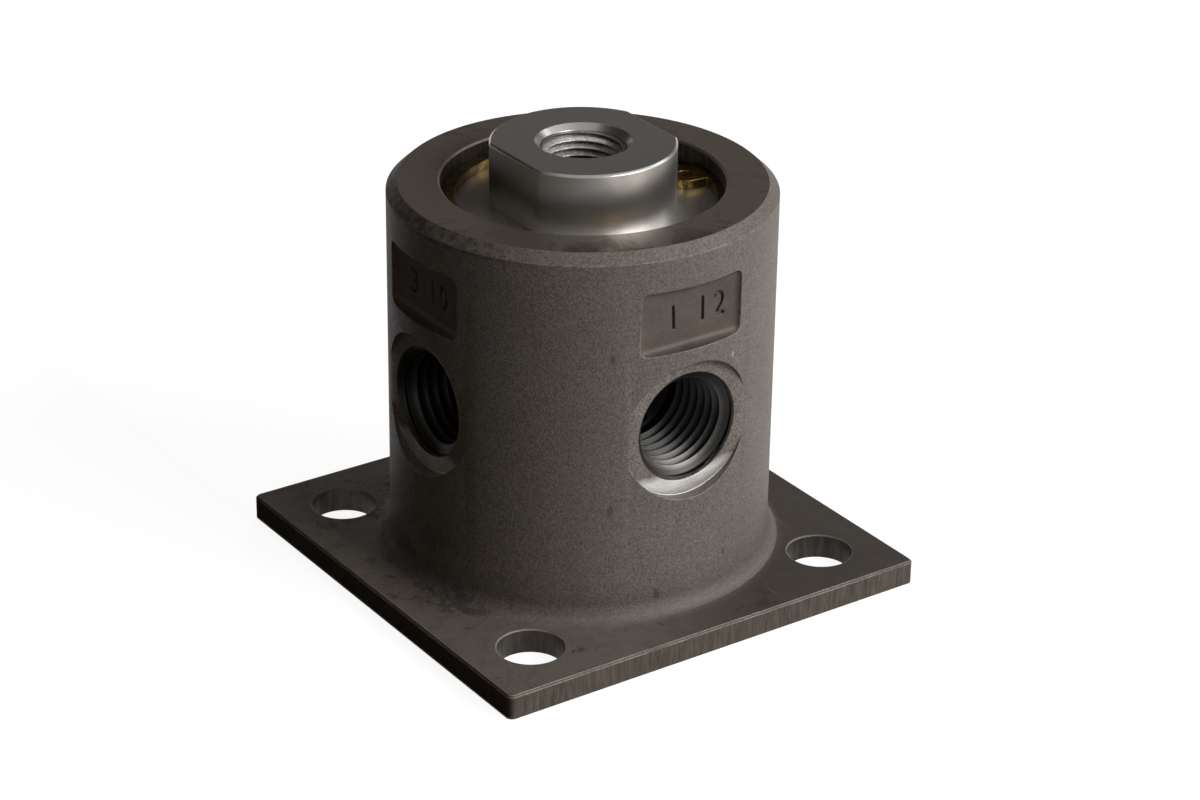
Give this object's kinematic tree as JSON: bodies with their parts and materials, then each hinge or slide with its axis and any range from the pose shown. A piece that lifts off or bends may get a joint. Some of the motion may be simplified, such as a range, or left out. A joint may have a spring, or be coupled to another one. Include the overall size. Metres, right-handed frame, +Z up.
{
  "type": "air pilot valve",
  "caption": "Cylindrical three-way air pilot valve with a square mounting flange, threaded side ports and a threaded pilot boss on top.",
  "frame": {"origin": "centre of the flange's underside", "axes": "+Z up along the spool; -Y out of the normally closed inlet, -X out of the normally open inlet, +Y out of the outlet"},
  "size_m": [0.0604, 0.0604, 0.0557],
  "materials": {
    "cast_aluminium": "bead-blasted casting, machined top face",
    "zinc_plated_steel": "turned and zinc plated",
    "yellow_zinc_steel": "stamped spring steel, yellow passivated",
    "black_rubber": "moulded nitrile rubber",
    "machined_aluminium": "turned",
    "spool_aluminium": "turned and hard anodised",
    "turned_brass": "turned",
    "spring_steel": "drawn wire",
    "sintered_bronze": "sintered"
  },
  "bodies": {
    "housing": {"valve_body": "cast_aluminium", "end_cap": "zinc_plated_steel", "end_cap_seal": "black_rubber", "end_cap_retaining_ring": "yellow_zinc_steel", "guide_bush": "turned_brass", "guide_clip": "spring_steel", "return_spring": "spring_steel", "breather_filter": "sintered_bronze", "closed_inlet_spacer": "turned_brass", "outlet_spacer": "turned_brass", "open_inlet_spacer": "turned_brass", "spool_seal_1": "black_rubber", "spool_seal_2": "black_rubber", "spool_seal_3": "black_rubber", "spool_seal_4": "black_rubber"},
    "spool_group": {"piston": "machined_aluminium", "piston_seal": "black_rubber", "piston_washer": "turned_brass", "piston_nut": "zinc_plated_steel", "spool": "spool_aluminium"}
  },
  "joints": [
    {"name": "spool_slide", "type": "slide", "parent": "housing", "child": "spool_group", "axis": [0, 0, -1], "range_m": [0, 0.0032], "stiffness_N_per_m": 2500, "springref_m": -0.003, "deforming": ["return_spring"]}
  ]
}
